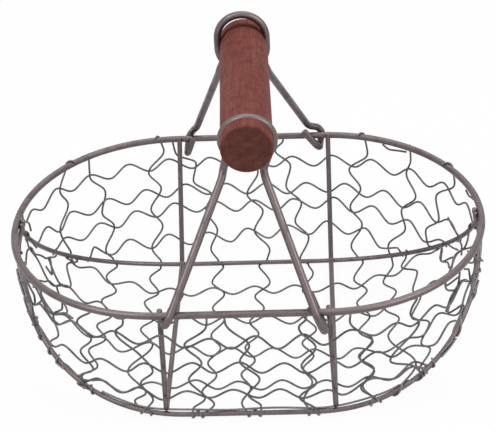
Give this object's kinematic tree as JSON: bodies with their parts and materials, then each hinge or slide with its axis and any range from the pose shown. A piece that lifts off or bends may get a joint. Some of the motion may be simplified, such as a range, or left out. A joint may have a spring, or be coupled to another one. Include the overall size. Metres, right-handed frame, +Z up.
{
  "type": "wire basket",
  "caption": "Oval boat-shaped wire basket with a heavy rim, keels and ribs, a crimped wire net, and two hooked wire bails that carry a turned wooden grip.",
  "frame": {"origin": "on the table plane under the middle of the basket, between the front and back straight sides of the rim", "axes": "+X along the basket's long side to the right, +Y to the back along the wooden handle, +Z up"},
  "size_m": [0.3042, 0.2382, 0.2092],
  "materials": {
    "frame_wire": "dull grey-brown galvanised steel wire with a soft sheen",
    "net_wire": "dark grey annealed steel wire",
    "handle_wood": "red-brown stained wood with fine lengthwise grain, end grain darker"
  },
  "bodies": {
    "basket": {"rim_wire": "frame_wire", "front_keel_wire": "frame_wire", "back_keel_wire": "frame_wire", "left_rib": "frame_wire", "right_rib": "frame_wire", "floor_cross_1": "net_wire", "floor_cross_2": "net_wire", "floor_cross_3": "net_wire", "floor_cross_4": "net_wire", "floor_cross_5": "net_wire", "floor_cross_6": "net_wire", "floor_cross_7": "net_wire", "floor_cross_8": "net_wire", "floor_cross_9": "net_wire", "floor_cross_10": "net_wire", "floor_cross_11": "net_wire", "front_cross_1": "net_wire", "front_cross_2": "net_wire", "front_cross_3": "net_wire", "front_cross_4": "net_wire", "front_cross_5": "net_wire", "front_cross_6": "net_wire", "front_cross_7": "net_wire", "front_cross_8": "net_wire", "front_cross_9": "net_wire", "back_cross_1": "net_wire", "back_cross_2": "net_wire", "back_cross_3": "net_wire", "back_cross_4": "net_wire", "back_cross_5": "net_wire", "back_cross_6": "net_wire", "back_cross_7": "net_wire", "back_cross_8": "net_wire", "back_cross_9": "net_wire", "front_row_1": "net_wire", "front_row_2": "net_wire", "front_row_3": "net_wire", "back_row_1": "net_wire", "back_row_2": "net_wire", "back_row_3": "net_wire", "back_row_4": "net_wire", "floor_row_1": "net_wire", "floor_row_2": "net_wire", "floor_row_3": "net_wire", "floor_row_4": "net_wire"},
    "front_bail": {"front_bail": "frame_wire"},
    "handle": {"wooden_handle": "handle_wood"},
    "back_bail": {"back_bail": "frame_wire"}
  },
  "joints": [
    {"name": "front_bail_hinge", "type": "hinge", "parent": "basket", "child": "front_bail", "pos_m": [0, -0.1114, 0.09296], "axis": [1, 0, 0], "range_deg": [-3.5, 3.5]},
    {"name": "handle_pivot", "type": "hinge", "parent": "front_bail", "child": "handle", "pos_m": [0.0045, -0.065, 0.18376], "axis": [1, 0, 0], "range_deg": [-6, 6]},
    {"name": "back_bail_hinge", "type": "hinge", "parent": "basket", "child": "back_bail", "pos_m": [0, 0.1114, 0.09296], "axis": [1, 0, 0], "range_deg": [-3.5, 3.5]}
  ],
  "couplings": [
    {"joint": "handle_pivot", "follows": "front_bail_hinge", "ratio": -1.714},
    {"joint": "back_bail_hinge", "follows": "front_bail_hinge", "ratio": 1}
  ]
}
